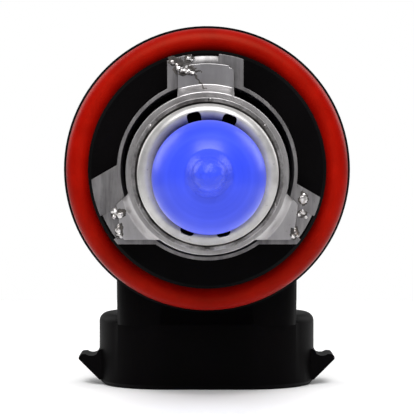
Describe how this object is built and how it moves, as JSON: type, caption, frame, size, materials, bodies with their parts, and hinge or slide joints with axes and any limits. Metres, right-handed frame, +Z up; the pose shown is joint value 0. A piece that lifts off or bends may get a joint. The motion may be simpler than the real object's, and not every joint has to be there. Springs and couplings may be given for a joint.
{
  "type": "halogen headlight bulb",
  "caption": "Halogen headlight bulb with blue glass, a lugged metal cap ring, a red sealing ring and a right-angle plastic base with a plug socket.",
  "frame": {"origin": "where the lamp axis crosses the reference plane, which is the rear face of the three metal lugs", "axes": "-Y along the lamp axis towards the glass tip, +Z up through the top lug, -Z down through the connector mouth, +X to the right when looking at the glass tip"},
  "size_m": [0.031, 0.0673, 0.0399],
  "materials": {
    "black_plastic": "matte moulded glass-filled plastic",
    "cover_plastic": "matte moulded glass-filled plastic",
    "red_silicone": "smooth silicone with a soft sheen",
    "cap_steel": "satin stamped stainless sheet",
    "clamp_steel": "bright rolled stainless sheet",
    "weld_metal": "bright melted beads with a dark edge",
    "blue_glass": "blue coated quartz glass",
    "tungsten": "fine drawn tungsten wire",
    "lead_metal": "drawn molybdenum wire and foil",
    "tinned_brass": "tin-plated stamped strip",
    "sealing_compound": "poured dark silicone with a soft sheen"
  },
  "bodies": {
    "root": {"base_housing": "black_plastic", "rear_cover": "cover_plastic", "o_ring": "red_silicone", "base_ring": "cap_steel", "focus_collar": "cap_steel", "bulb_clamp": "clamp_steel", "tab_welds": "weld_metal", "sleeve_welds": "weld_metal", "glass_envelope": "blue_glass", "filament": "tungsten", "short_lead": "lead_metal", "long_lead": "lead_metal", "foil_left": "lead_metal", "foil_right": "lead_metal", "outer_lead_left": "lead_metal", "outer_lead_right": "lead_metal", "lead_welds": "weld_metal", "terminal_left": "tinned_brass", "terminal_right": "tinned_brass", "sealing_left": "sealing_compound", "sealing_right": "sealing_compound"}
  },
  "joints": []
}
